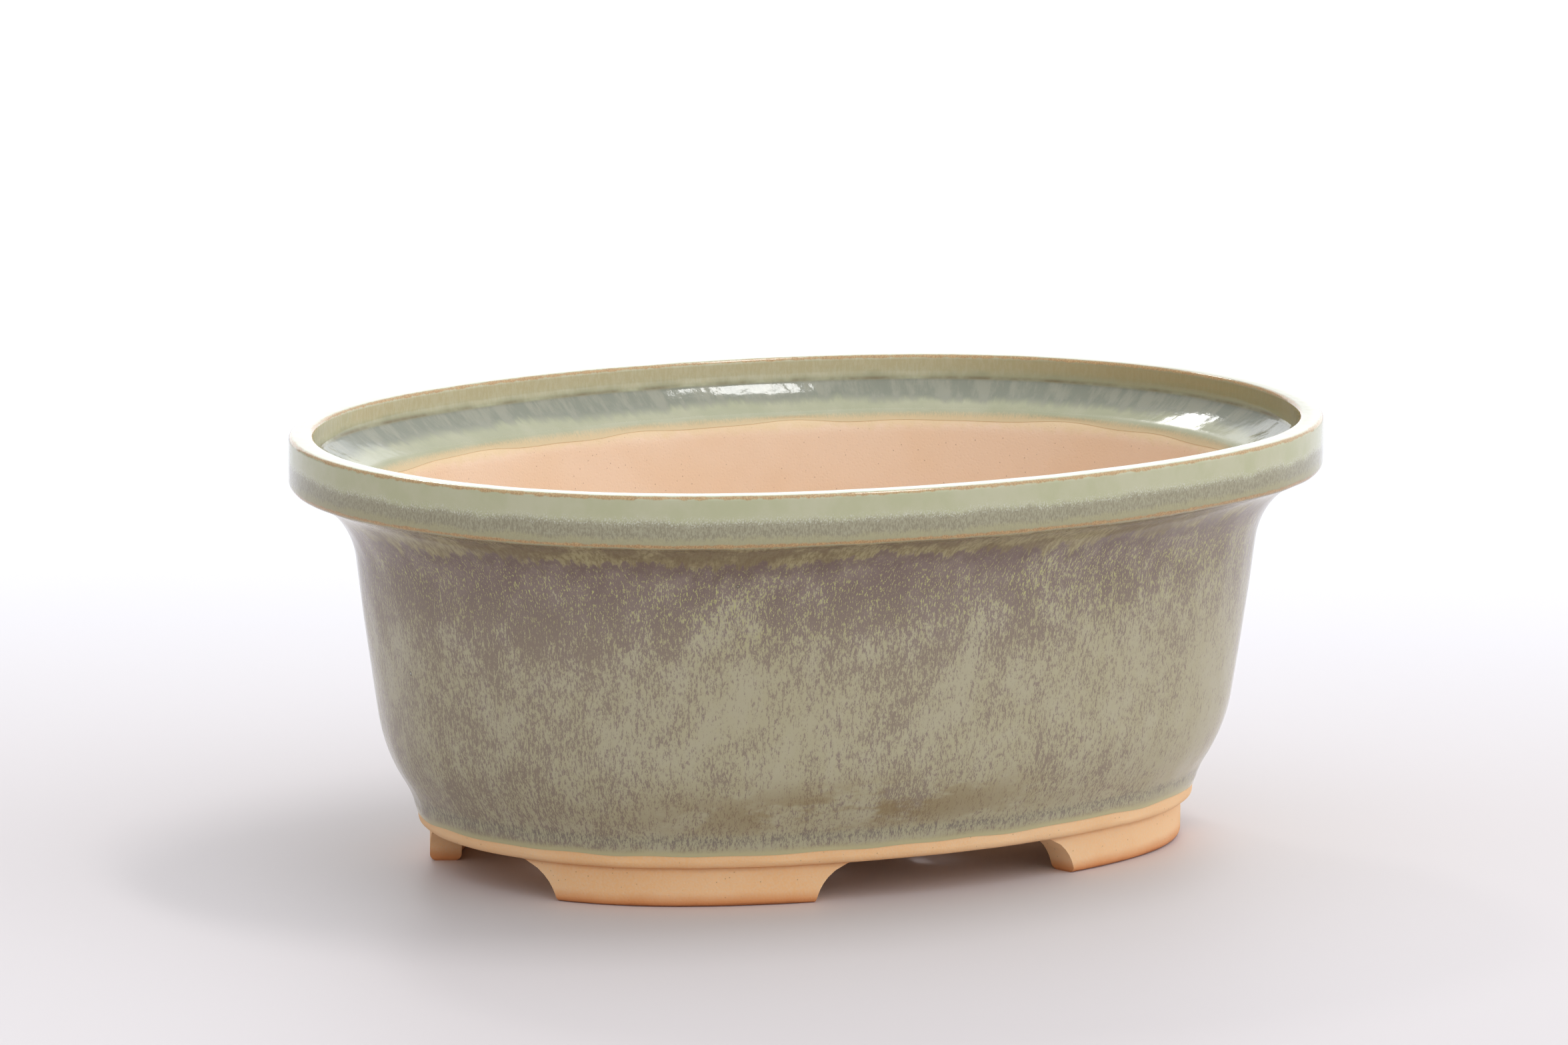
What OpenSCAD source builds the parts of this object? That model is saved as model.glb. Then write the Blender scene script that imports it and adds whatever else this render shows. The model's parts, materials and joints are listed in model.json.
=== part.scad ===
// Glazed oval bonsai pot with a banded, outward-turned rim and four corner feet.
// Millimetres, +Z up, X along the pot. The origin is on the table under the middle of the pot.
//
// Every level of the pot is the same four-centred oval, moved inwards by an inset d. So one
// cross-section, drawn with x = -d, is swept along two end arcs and two side arcs.

/* [Plan] */
// Length over the rim
pot_length = 205; // [190:1:240]
// Width over the rim
pot_width = 158; // [150:1:180]

/* [Height] */
// Table to lip
pot_height = 82; // [74:0.5:100]
// Table to the underside of the floor, which is the height of the feet
foot_height = 7.5; // [5:0.5:9]
// Thickness of the floor slab
floor_thickness = 5.3; // [4:0.1:6]

/* [Wall] */
// Thickness of the wall, glaze included
wall_thickness = 4.9; // [4:0.1:6]
// Lean of the wall from upright, in degrees
wall_lean = 8.25; // [6:0.25:10]
// Inset of the wall's outside, on its straight line carried down to the table
wall_inset = 21.1; // [19:0.1:22]
// Level at which the straight wall starts to round in towards the base
belly_level = 29; // [26:0.5:34]
// Radius of the rounding above the base
belly_radius = 32; // [26:1:36]
// Steepest lean of the wall where the rounding turns into the base cove, in degrees
belly_lean = 33; // [30:0.5:36]
// Radius of the cove that spreads into the base
base_cove = 17; // [14:0.5:20]

/* [Rim] */
// Height of the upright band around the rim
band_height = 8.6; // [6:0.2:11]
// Width of the flat top of the lip
lip_width = 4.6; // [4:0.1:6]
// Depth of the upright inner face of the lip
lip_depth = 5.1; // [4:0.1:6]
// Radius of the hollow under the band
rim_cove = 16; // [12:0.5:18]
// Slope of the rim's inside below the lip, in degrees
rim_slope = 28; // [24:1:32]
// Rounding of the lip's top edges
lip_edge = 0.9; // [0.8:0.1:1.4]
// Rounding of the band's lower edge
band_edge = 1.6; // [1.2:0.1:2.2]
// Rounding of the corner under the lip's inner face
lip_cove = 1.4; // [1:0.1:2]
// Rounding of the shoulder where the rim turns down into the pot
shoulder = 5; // [4:0.5:7]

/* [Glaze] */
// Thickness of the glaze
glaze = 0.6; // [0.4:0.1:0.7]
// Height of the glaze's lower edge above the underside of the floor
glaze_rise = 2.6; // [2:0.1:2.8]
// Depth below the lip at which the glaze inside ends
glaze_depth = 11; // [10:0.1:11.5]

/* [Feet] */
// Thickness of each foot across the wall line
foot_thickness = 6; // [5:0.5:8]
// Inset of the feet's outer face
foot_inset = 26.6; // [26.5:0.1:28]
// Clear length between the two feet of a long side, at the table
side_gap = 59; // [44:1:70]
// Clear length between the two feet of an end, at the table
end_gap = 44; // [30:1:50]
// Radius of the hollowed ends of the feet
foot_cove = 9; // [8:0.5:11]
// Rounding of the feet's bottom edges
foot_edge = 0.8; // [0.5:0.1:1.2]

/* [Holes] */
// Diameter of the two drain holes
drain_d = 22; // [16:1:28]
// Distance between the drain holes' centres
drain_spacing = 76; // [50:1:84]
// Diameter of the four tie-wire holes
wire_d = 5; // [3:0.5:6]
// Distance between the tie-wire holes along the pot
wire_spacing_x = 28; // [16:1:36]
// Distance between the tie-wire holes across the pot
wire_spacing_y = 50; // [40:1:60]

/* [Hidden] */
$fn = 96;
bare_clay = [0.84, 0.66, 0.49];
inner_clay = [0.89, 0.79, 0.70];
olive_glaze = [0.56, 0.53, 0.41];
arc_flat = 24;      // a bigger value gives arcs fewer points
far = 300;          // longer than the pot, for cutting
merge = 0.001;      // points closer than this are one point

// Plan: the end arcs and side arcs of the oval meet, with one tangent, on lines through both
// their centres. A 5-12-13 triangle joins the centres, so every length in the plan is exact.
half_l = pot_length / 2;
half_w = pot_width / 2;
unit = (half_l - half_w) / 4;
end_x = 5 * unit;
side_y = 12 * unit;
end_radius = half_w - unit;
side_radius = end_radius + 13 * unit;
wedge = 20;         // size of the cutting wedges, in triangles

// Levels
floor_top = foot_height + floor_thickness;
glaze_line = foot_height + glaze_rise;
band_bottom = pot_height - band_height;

// Points of the section are [inset, height], and angles run from inwards towards up.
function ray(a) = [cos(a), sin(a)];
function reversed(p) = [for (i = [len(p) - 1:-1:0]) p[i]];
function merged(p) = [for (i = [0:len(p) - 1]) if (i == 0 || norm(p[i] - p[i - 1]) > merge) p[i]];
function arc(c, r, a0, a1) =
    let (n = max(2, ceil(abs(a1 - a0) * sqrt(r) / arc_flat)))
    [for (i = [0:n]) c + r * ray(a0 + (a1 - a0) * i / n)];

// The outside of the wall is the line where [inset, height] * ray(wall_lean) equals wall_k.
wall_k = wall_inset * cos(wall_lean);
up_wall = ray(wall_lean + 90);

// Centres of the outside's arcs: lip edge, band edge, cove under the band, belly, base cove.
// The cove under the band touches both the band edge and the wall.
lip_c = [lip_edge, pot_height - lip_edge];
band_c = [band_edge, band_bottom];
cove_0 = (wall_k - rim_cove) * ray(wall_lean);
cove_rise = (band_c - cove_0) * up_wall;
cove_gap = pow(norm(band_c - cove_0), 2) - pow(cove_rise, 2);
cove_c = cove_0 + (cove_rise - sqrt(pow(rim_cove + band_edge, 2) - cove_gap)) * up_wall;
cove_a = atan2(band_c[1] - cove_c[1], band_c[0] - cove_c[0]);
belly_0 = [(wall_k - belly_level * sin(wall_lean)) / cos(wall_lean), belly_level];
belly_c = belly_0 + belly_radius * ray(wall_lean);
base_c = belly_c - (belly_radius + base_cove) * ray(belly_lean);

// Centres of the inside's arcs: lip edge, corner under the lip, shoulder, floor corner.
// The shoulder touches both the rim's slope and the inside of the wall.
inner_lip_c = [lip_width - lip_edge, pot_height - lip_edge];
slope_a = 90 - rim_slope;
slope_k = [lip_width, pot_height - lip_depth] * ray(slope_a);
corner_d = lip_width + lip_cove;
corner_c = [corner_d, (slope_k + lip_cove - corner_d * cos(slope_a)) / sin(slope_a)];
inner_k = wall_k + wall_thickness - shoulder;
shoulder_c = inner_k * ray(wall_lean)
    + (slope_k - shoulder - inner_k * cos(slope_a - wall_lean)) / sin(slope_a - wall_lean) * up_wall;
belly_inner = belly_radius - wall_thickness + glaze;
floor_round = 7;    // radius of the corner between wall and floor
floor_lap = 70;     // the floor corner stops short, so the foot of the wall has no feather edge
floor_a = asin((belly_c[1] - floor_top - floor_round) / (belly_inner - floor_round));
floor_c = belly_c - (belly_inner - floor_round) * ray(floor_a);

// Bare edge of the floor, rounded under from the glaze line to the flat underside.
edge_round = 1.8;
edge_z = foot_height + edge_round;
edge_d = base_c[0] + sqrt(pow(base_cove + glaze, 2) - pow(edge_z - base_c[1], 2)) + edge_round;

// The glazed surface, or the clay at a depth t below it, from inside over the lip and down.
glaze_end_a = asin((pot_height - glaze_depth - shoulder_c[1]) / shoulder);
function glazed(t) = concat(
    arc(shoulder_c, shoulder - t, glaze_end_a, slope_a),
    arc(corner_c, lip_cove + t, 180 + slope_a, 180),
    arc(inner_lip_c, lip_edge - t, 0, 90),
    arc(lip_c, lip_edge - t, 90, 180),
    arc(band_c, band_edge - t, 180, 180 + cove_a),
    arc(cove_c, rim_cove + t, cove_a, wall_lean),
    arc(belly_c, belly_radius - t, 180 + wall_lean, 180 + belly_lean),
    arc(base_c, base_cove + t, belly_lean, asin((glaze_line - base_c[1]) / (base_cove + t))));

// The bare inside, from the floor up to the end of the glaze.
bare_inside = concat(
    arc(floor_c, floor_round, 180 + floor_lap, 180 + floor_a),
    arc(belly_c, belly_inner, 180 + floor_a, 180 + wall_lean),
    arc(shoulder_c, shoulder - glaze, wall_lean, glaze_end_a));

// All the clay that follows the oval, out from the plain middle of the floor.
floor_core = 42;
clay_points = concat(
    [[floor_core, foot_height], [floor_core, floor_top], [bare_inside[0][0], floor_top]],
    bare_inside,
    glazed(glaze),
    arc([edge_d, edge_z], edge_round, 180, 270));

glaze_points = concat(glazed(0), reversed(glazed(glaze)));

foot_end_lift = 0.4; // lifts the hollowed ends, so the top of a foot has no feather edge
foot_points = concat(
    [[foot_inset, foot_height]],
    arc([foot_inset + foot_edge, foot_edge], foot_edge, 180, 270),
    arc([foot_inset + foot_thickness - foot_edge, foot_edge], foot_edge, 270, 360),
    [[foot_inset + foot_thickness, foot_height]]);

// Draws [inset, height] points as a section to sweep.
module section(points) {
    polygon([for (p = merged(points)) [-p[0], p[1]]]);
}

// The part of the clay's section between two levels.
module clay_between(low, high) {
    intersection() {
        section(clay_points);
        translate([-far, low]) square([far, high - low]);
    }
}

// The part of a full sweep that lies in the wedge of one arc.
module arc_sweep(centre, radius, corners) {
    intersection() {
        translate(centre) rotate_extrude() translate([radius, 0]) children();
        translate([0, 0, -far / 2]) linear_extrude(far) polygon([for (c = corners) centre + c]);
    }
}

// Sweeps a section around the oval.
module around() {
    for (side = [-1, 1]) {
        arc_sweep([0, -side * side_y], side_radius,
            wedge * [[0, 0], [-5, 12 * side], [5, 12 * side]]) children();
        arc_sweep([side * end_x, 0], end_radius,
            wedge * [[0, 0], [5 * side, -12], [5 * side, 12]]) children();
    }
}

// The oval at an inset: two end circles, and the part between them of two side circles.
module oval(inset) {
    for (side = [-1, 1]) translate([side * end_x, 0]) circle(end_radius - inset);
    intersection() {
        translate([0, -side_y]) circle(side_radius - inset);
        translate([0, side_y]) circle(side_radius - inset);
        square([2 * (end_x + (end_radius - inset) * 5 / 13), far], center = true);
    }
}

// Slab with a rounded edge, which stays bare below the glaze, and holes for drainage and wire.
module floor_slab() {
    color(bare_clay) difference() {
        union() {
            around() clay_between(0, floor_top);
            translate([0, 0, foot_height]) linear_extrude(floor_thickness) oval(floor_core - 1);
        }
        for (side = [-1, 1]) {
            translate([side * drain_spacing / 2, 0, 0]) cylinder(h = pot_height, d = drain_d);
            for (back = [-1, 1])
                translate([side * wire_spacing_x / 2, back * wire_spacing_y / 2, 0])
                    cylinder(h = pot_height, d = wire_d);
        }
    }
}

// Wall from the floor up to the start of the rim.
module wall() {
    color(inner_clay) around() clay_between(floor_top, cove_c[1]);
}

// Flare, upright band and flat lip.
module rim() {
    color(inner_clay) around() clay_between(cove_c[1], pot_height);
}

// The glaze: one skin from the shoulder inside, over the lip, and down to the base.
module glaze_coat() {
    color(olive_glaze) around() section(glaze_points);
}

// Clears the space between two feet, with the hollowed ends that face it.
module gap(length) {
    axis_z = foot_height - foot_cove + foot_end_lift;
    axis_x = length / 2 - sqrt(pow(foot_cove, 2) - pow(axis_z, 2));
    rotate([90, 0, 0]) {
        for (side = [-1, 1]) translate([side * axis_x, axis_z, -far / 2])
            cylinder(h = far, r = foot_cove);
        translate([-axis_x, -foot_height, -far / 2])
            cube([2 * axis_x, axis_z + foot_cove + foot_height, far]);
    }
}

// One foot, on the side of the pot given by the signs of x and y.
module foot(x, y) {
    color(bare_clay) difference() {
        intersection() {
            around() section(foot_points);
            translate([min(x, 0) * far, min(y, 0) * far, 0]) cube([far, far, foot_height]);
        }
        gap(side_gap);
        rotate(90) gap(end_gap);
    }
}

module foot_front_left() { foot(-1, -1); }
module foot_front_right() { foot(1, -1); }
module foot_back_left() { foot(-1, 1); }
module foot_back_right() { foot(1, 1); }

floor_slab();
wall();
rim();
glaze_coat();
foot_front_left();
foot_front_right();
foot_back_left();
foot_back_right();
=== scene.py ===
"""Looks of the glazed oval bonsai pot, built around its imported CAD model.

Every piece is one cross-section swept round a smooth oval. A section point is (inset, height) in
millimetres, and an inset is measured inwards from the outside of the rim. Angles of a section run
from inwards towards up. Meshes are in metres, in the CAD frame.
"""

import json
import math

import bmesh
import bpy
import numpy as np
from mathutils import Matrix, Vector


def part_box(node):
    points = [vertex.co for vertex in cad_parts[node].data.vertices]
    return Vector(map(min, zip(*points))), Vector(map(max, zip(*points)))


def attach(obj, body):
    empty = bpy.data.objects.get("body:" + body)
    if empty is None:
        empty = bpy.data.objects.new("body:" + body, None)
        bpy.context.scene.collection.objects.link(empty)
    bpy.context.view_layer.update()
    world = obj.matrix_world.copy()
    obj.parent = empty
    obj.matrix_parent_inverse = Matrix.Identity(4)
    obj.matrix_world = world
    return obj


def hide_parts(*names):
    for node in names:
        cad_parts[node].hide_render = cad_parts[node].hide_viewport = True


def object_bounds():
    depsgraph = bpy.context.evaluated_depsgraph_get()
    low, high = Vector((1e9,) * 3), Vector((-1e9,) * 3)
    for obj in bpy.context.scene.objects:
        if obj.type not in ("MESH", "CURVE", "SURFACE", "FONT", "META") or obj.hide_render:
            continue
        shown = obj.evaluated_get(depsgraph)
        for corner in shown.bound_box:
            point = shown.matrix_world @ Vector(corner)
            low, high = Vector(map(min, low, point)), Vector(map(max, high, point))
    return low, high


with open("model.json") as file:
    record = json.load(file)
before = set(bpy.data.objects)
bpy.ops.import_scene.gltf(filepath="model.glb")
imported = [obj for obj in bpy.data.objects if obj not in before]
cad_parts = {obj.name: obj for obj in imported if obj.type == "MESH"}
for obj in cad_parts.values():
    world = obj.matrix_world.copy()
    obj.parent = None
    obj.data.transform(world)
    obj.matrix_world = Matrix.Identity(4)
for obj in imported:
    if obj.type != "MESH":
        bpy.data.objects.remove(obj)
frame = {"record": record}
cad_low, cad_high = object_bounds()

PI = math.pi
MM = 0.001
RNG = np.random.default_rng(20)

# ---------------------------------------------------------------- sizes, in millimetres
HALF_LENGTH = cad_high.x / MM
HALF_WIDTH = cad_high.y / MM
POT_HEIGHT = cad_high.z / MM
FOOT_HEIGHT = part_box("floor_slab")[0].z / MM
FLOOR_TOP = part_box("floor_slab")[1].z / MM
RIM_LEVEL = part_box("rim")[0].z / MM
GLAZE_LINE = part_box("glaze_coat")[0].z / MM

GLAZE = 0.6
WALL_THICKNESS = 4.9
WALL_LEAN = math.radians(8.25)
WALL_INSET = 21.1
BELLY_LEVEL = 29.0
BELLY_RADIUS = 32.0
BELLY_LEAN = math.radians(33.0)
BASE_COVE = 17.0
BAND_HEIGHT = 8.6
BAND_EDGE = 1.6
RIM_COVE = 16.0
LIP_WIDTH = 4.6
LIP_DEPTH = 5.1
LIP_EDGE = 0.9
LIP_COVE = 1.4
RIM_SLOPE = math.radians(28.0)
SHOULDER = 5.0
GLAZE_DEPTH = 11.0
FLOOR_ROUND = 7.0
FLOOR_LAP = math.radians(80.0)
EDGE_ROUND = 1.8
FOOT_INSET = 26.6
FOOT_THICKNESS = 6.0
FOOT_COVE = 9.0
THIN = 0.08  # thickness of the glaze where it runs out
LINE_RISE = 0.55  # how much higher the lower glaze line lies at the front right
LINE_RISE_TOWARD = math.radians(-40)
FEATHER_LENGTH = 2.2  # over which the glaze thins out inside
ROLL_SIZE, ROLL_FROM_END, ROLL_WIDTH = 0.13, 1.5, 0.9  # thicker glaze just above the lower line
POOL_SIZE, POOL_LOW, POOL_HIGH = 0.42, 2.6, 0.9  # glaze pooled in the corner under the lip
SPARE = 2.0  # more of the surface at both ends, for the ends of the glaze to wander on

# Where each foot stops at the table: x on the long side of the pot, and y on its end.
FOOT_ENDS = {
    "foot_front_left": (27.3, 24.6),
    "foot_front_right": (29.8, 23.0),
    "foot_back_left": (29.0, 21.0),
    "foot_back_right": (28.6, 22.4),
}

AROUND = 400  # points round the oval
STEP = 1.0  # longest distance between section points
STEP_TURN = math.radians(9)  # most that an arc turns between points
SHORTEST_STEP = 0.15
WRAP_INSET = 15.0  # inset of the oval that the glaze is unrolled on


# ---------------------------------------------------------------- the oval
def smooth(x):
    """A smooth step from 0 to 1."""
    x = np.clip(x, 0.0, 1.0)
    return x * x * (3 - 2 * x)


class Oval:
    """The plan of the pot: a curve whose radius changes smoothly from the ends to the sides.

    It is described by the direction of its outward normal, so that every inset of it is
    parallel to the rim and the wall keeps its thickness.
    """

    TURN = math.radians(69)  # direction at which the ends pass into the sides
    BLEND = math.radians(15)

    def __init__(self, count):
        fine = np.linspace(0, PI / 2, 2001)
        side = smooth((fine - self.TURN + self.BLEND) / (2 * self.BLEND))
        reach = [
            [self.total(fine, toward * share)[-1] for share in (1 - side, side)]
            for toward in (np.sin(fine), np.cos(fine))
        ]
        end_radius, side_radius = np.linalg.solve(reach, [HALF_LENGTH, HALF_WIDTH])
        quarter = end_radius * (1 - side) + side_radius * side
        back = fine[-2::-1]
        angle = np.concatenate([fine, PI - back, PI + fine[1:], 2 * PI - back])
        radius = np.concatenate([quarter, quarter[-2::-1], quarter[1:], quarter[-2::-1]])
        along = self.total(angle, radius - WALL_INSET)
        even = np.linspace(0, along[-1], count, endpoint=False)
        x = HALF_LENGTH - self.total(angle, radius * np.sin(angle))
        y = self.total(angle, radius * np.cos(angle))
        self.angle = np.interp(even, along, angle)
        self.x = np.interp(even, along, x)
        self.y = np.interp(even, along, y)
        self.length = along[-1]

    @staticmethod
    def total(angle, rate):
        """Running integral of a rate over the angle."""
        steps = (rate[1:] + rate[:-1]) / 2 * np.diff(angle)
        return np.concatenate([[0], np.cumsum(steps)])

    def at(self, inset, height):
        """Points of the oval, in metres, for insets and heights given per point round it."""
        inset, height = np.broadcast_arrays(inset, height)
        shape = (len(self.angle),) + (1,) * (inset.ndim - 1)
        x, y, a = (v.reshape(shape) for v in (self.x, self.y, self.angle))
        return np.stack([x - inset * np.cos(a), y - inset * np.sin(a), height + 0 * x], -1) * MM


# ---------------------------------------------------------------- the section
def ray(a):
    """Unit vector of the section at an angle."""
    return np.array([math.cos(a), math.sin(a)])


def arc(centre, radius, start, end, step=STEP):
    """Points along an arc, both ends included, closer together where it is tight."""
    step = min(step, max(SHORTEST_STEP, radius * STEP_TURN))
    count = max(3, math.ceil(abs(end - start) * radius / step))
    angles = np.linspace(start, end, count + 1)
    return centre + radius * np.stack([np.cos(angles), np.sin(angles)], -1)


def line(a, b, step=STEP):
    """Points between a and b, without a and b themselves."""
    count = max(1, int(np.linalg.norm(np.subtract(b, a)) / step))
    return np.array([a + np.subtract(b, a) * i / count for i in range(1, count)]).reshape(-1, 2)


def chain(*parts):
    """One polyline through the parts, with points along the straight stretches between them."""
    points = [parts[0]]
    for part in parts[1:]:
        points.append(line(points[-1][-1], part[0]))
        points.append(part)
    path = np.concatenate(points)
    keep = np.concatenate([[True], np.linalg.norm(np.diff(path, axis=0), axis=1) > 0.01])
    return path[keep]


def lengths(path):
    """Length of the path up to each of its points."""
    return np.concatenate([[0], np.cumsum(np.linalg.norm(np.diff(path, axis=0), axis=1))])


def between(path, low, high):
    """The stretch of a path that rises or falls all the way, from one height to another."""
    order = path if path[-1, 1] > path[0, 1] else path[::-1]
    cut = [np.array([np.interp(z, order[:, 1], order[:, 0]), z]) for z in (low, high)]
    inside = order[(order[:, 1] > low + 0.05) & (order[:, 1] < high - 0.05)]
    return np.concatenate([[cut[0]], inside, [cut[1]]])


UP_WALL = ray(WALL_LEAN + PI / 2)
WALL_K = WALL_INSET * math.cos(WALL_LEAN)
BAND_C = np.array([BAND_EDGE, POT_HEIGHT - BAND_HEIGHT])
LIP_C = np.array([LIP_EDGE, POT_HEIGHT - LIP_EDGE])
INNER_LIP_C = np.array([LIP_WIDTH - LIP_EDGE, POT_HEIGHT - LIP_EDGE])

cove_0 = (WALL_K - RIM_COVE) * ray(WALL_LEAN)
cove_rise = (BAND_C - cove_0) @ UP_WALL
cove_gap = np.sum((BAND_C - cove_0) ** 2) - cove_rise**2
COVE_C = cove_0 + (cove_rise - math.sqrt((RIM_COVE + BAND_EDGE) ** 2 - cove_gap)) * UP_WALL
COVE_A = math.atan2(*(BAND_C - COVE_C)[::-1])
belly_0 = [(WALL_K - BELLY_LEVEL * math.sin(WALL_LEAN)) / math.cos(WALL_LEAN), BELLY_LEVEL]
BELLY_C = belly_0 + BELLY_RADIUS * ray(WALL_LEAN)
BASE_C = BELLY_C - (BELLY_RADIUS + BASE_COVE) * ray(BELLY_LEAN)

SLOPE_A = PI / 2 - RIM_SLOPE
slope_k = np.array([LIP_WIDTH, POT_HEIGHT - LIP_DEPTH]) @ ray(SLOPE_A)
corner_d = LIP_WIDTH + LIP_COVE
CORNER_C = np.array([corner_d, (slope_k + LIP_COVE - corner_d * math.cos(SLOPE_A)) / math.sin(SLOPE_A)])
inner_k = WALL_K + WALL_THICKNESS - SHOULDER
SHOULDER_C = inner_k * ray(WALL_LEAN) + UP_WALL * (
    (slope_k - SHOULDER - inner_k * math.cos(SLOPE_A - WALL_LEAN)) / math.sin(SLOPE_A - WALL_LEAN)
)
BELLY_INNER = BELLY_RADIUS - WALL_THICKNESS + GLAZE
FLOOR_A = math.asin((BELLY_C[1] - FLOOR_TOP - FLOOR_ROUND) / (BELLY_INNER - FLOOR_ROUND))
FLOOR_C = BELLY_C - (BELLY_INNER - FLOOR_ROUND) * ray(FLOOR_A)
GLAZE_END_A = math.asin((POT_HEIGHT - GLAZE_DEPTH - SHOULDER_C[1]) / SHOULDER)
EDGE_Z = FOOT_HEIGHT + EDGE_ROUND
EDGE_D = BASE_C[0] + math.sqrt((BASE_COVE + THIN) ** 2 - (EDGE_Z - BASE_C[1]) ** 2) + EDGE_ROUND


def base_end(depth):
    """Angle at which the cove of the base meets the glaze line, that far under the glaze."""
    return math.asin((GLAZE_LINE - BASE_C[1]) / (BASE_COVE + depth))


def glazed(depth, longer=0.0):
    """The glazed surface, or the surface that far under it, as one path from inside to the base.

    It can be drawn longer at both ends, in millimetres.
    """
    return [
        arc(SHOULDER_C, SHOULDER - depth, GLAZE_END_A - longer / SHOULDER, SLOPE_A, 0.4),
        arc(CORNER_C, LIP_COVE + depth, PI + SLOPE_A, PI, 0.2),
        arc(INNER_LIP_C, LIP_EDGE - depth, 0, PI / 2),
        arc(LIP_C, LIP_EDGE - depth, PI / 2, PI),
        arc(BAND_C, BAND_EDGE - depth, PI, PI + COVE_A, 0.2),
        arc(COVE_C, RIM_COVE + depth, COVE_A, WALL_LEAN),
        arc(BELLY_C, BELLY_RADIUS - depth, PI + WALL_LEAN, PI + BELLY_LEAN),
        arc(BASE_C, BASE_COVE + depth, BELLY_LEAN, base_end(depth) - longer / BASE_COVE, 0.4),
    ]


def marks():
    """Named places along the glazed surface, and the length up to the middle of the lip's top.

    The places are lengths from there in millimetres, less than nothing on the inside.
    """
    parts = glazed(0)
    path = chain(*parts)
    run = lengths(path)

    def place(point):
        return run[np.argmin(np.linalg.norm(path - point, axis=1))]

    top = place((parts[2][-1] + parts[3][0]) / 2)
    named = {
        "inner_end": parts[0][0],
        "slope_low": parts[0][-1],
        "corner": parts[1][len(parts[1]) // 2],
        "inner_edge": parts[2][len(parts[2]) // 2],
        "outer_edge": parts[3][len(parts[3]) // 2],
        "band_edge": parts[4][len(parts[4]) // 3],
        "cove_top": parts[5][0],
        "belly": parts[6][0],
        "base": parts[7][0],
        "glaze_end": parts[7][-1],
    }
    return {name: place(point) - top for name, point in named.items()}, top


MARK, TOP_RUN = marks()


# ---------------------------------------------------------------- hand-made unevenness
class Ripple:
    """Smooth unevenness that closes on itself round the oval: a sum of waves.

    Their lengths are in millimetres: shortest to longest round the oval, and no less than tall up it.
    """

    def __init__(self, waves, longest, shortest, tall):
        turns = np.exp(RNG.uniform(math.log(1 / longest), math.log(1 / shortest), waves))
        self.turns = np.round(turns * OVAL.length)
        self.rise = RNG.uniform(-1, 1, waves) * 2 * PI / tall
        self.phase = RNG.uniform(0, 2 * PI, waves)
        self.size = 1 / np.sqrt(waves / 2)

    def at(self, turn, height=0.0):
        turn, height = np.broadcast_arrays(turn, height)
        total = np.zeros(turn.shape)
        for k, rise, phase in zip(self.turns, self.rise, self.phase):
            total += np.sin(2 * PI * k * turn + rise * height + phase)
        return total * self.size


OVAL = Oval(AROUND)
TURN = np.arange(AROUND) / AROUND


# ---------------------------------------------------------------- meshes
def new_object(name, mesh):
    """An object of the scene for a mesh or a lamp or a camera."""
    piece = bpy.data.objects.new(name, mesh)
    bpy.context.scene.collection.objects.link(piece)
    return piece


def finish_mesh(piece, sharp=math.radians(40)):
    """Outward normals and smooth faces, with edges left sharp where the surface turns hard."""
    work = bmesh.new()
    work.from_mesh(piece.data)
    bmesh.ops.remove_doubles(work, verts=work.verts, dist=1e-7)
    bmesh.ops.recalc_face_normals(work, faces=work.faces)
    for edge in work.edges:
        edge.smooth = len(edge.link_faces) == 2 and edge.calc_face_angle(0) < sharp
    for face in work.faces:
        face.smooth = True
    work.to_mesh(piece.data)
    work.free()


def wrap_attribute(piece, values):
    """Stores where each point lies on the unrolled surface, in millimetres, for the materials."""
    field = piece.data.attributes.new("wrap", "FLOAT_VECTOR", "POINT")
    field.data.foreach_set("vector", np.asarray(values, np.float32).ravel())


def swept(name, sections, runs):
    """A closed ring from closed sections, one per point round the oval: (AROUND, m, 2)."""
    around, m = sections.shape[:2]
    points = OVAL.at(sections[..., 0], sections[..., 1])
    i, j = np.meshgrid(np.arange(around), np.arange(m), indexing="ij")
    ni, nj = (i + 1) % around, (j + 1) % m
    faces = np.stack([i * m + j, ni * m + j, ni * m + nj, i * m + nj], -1).reshape(-1, 4)
    mesh = bpy.data.meshes.new(name)
    mesh.from_pydata(points.reshape(-1, 3).tolist(), [], faces.tolist())
    piece = new_object(name, mesh)
    flat = OVAL.at(WRAP_INSET, np.broadcast_to(runs, (around, m))) / MM
    wrap_attribute(piece, flat.reshape(-1, 3))
    finish_mesh(piece)
    return piece


def outward(path):
    """Normals of a section path that point out of the material."""
    along = np.gradient(path, axis=0)
    along /= np.linalg.norm(along, axis=1)[:, None]
    return np.stack([along[:, 1], -along[:, 0]], -1)


def clay_depth(run):
    """Thickness of the glaze, which runs out at the base."""
    return THIN + (GLAZE - THIN) * smooth((MARK["glaze_end"] - run) / 2.4)


def clay_surface():
    """The clay under the glaze, from the end of the glaze inside over the lip to the base."""
    path = chain(*glazed(0))
    run = lengths(path) - TOP_RUN
    return path - outward(path) * clay_depth(run)[:, None]


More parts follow.
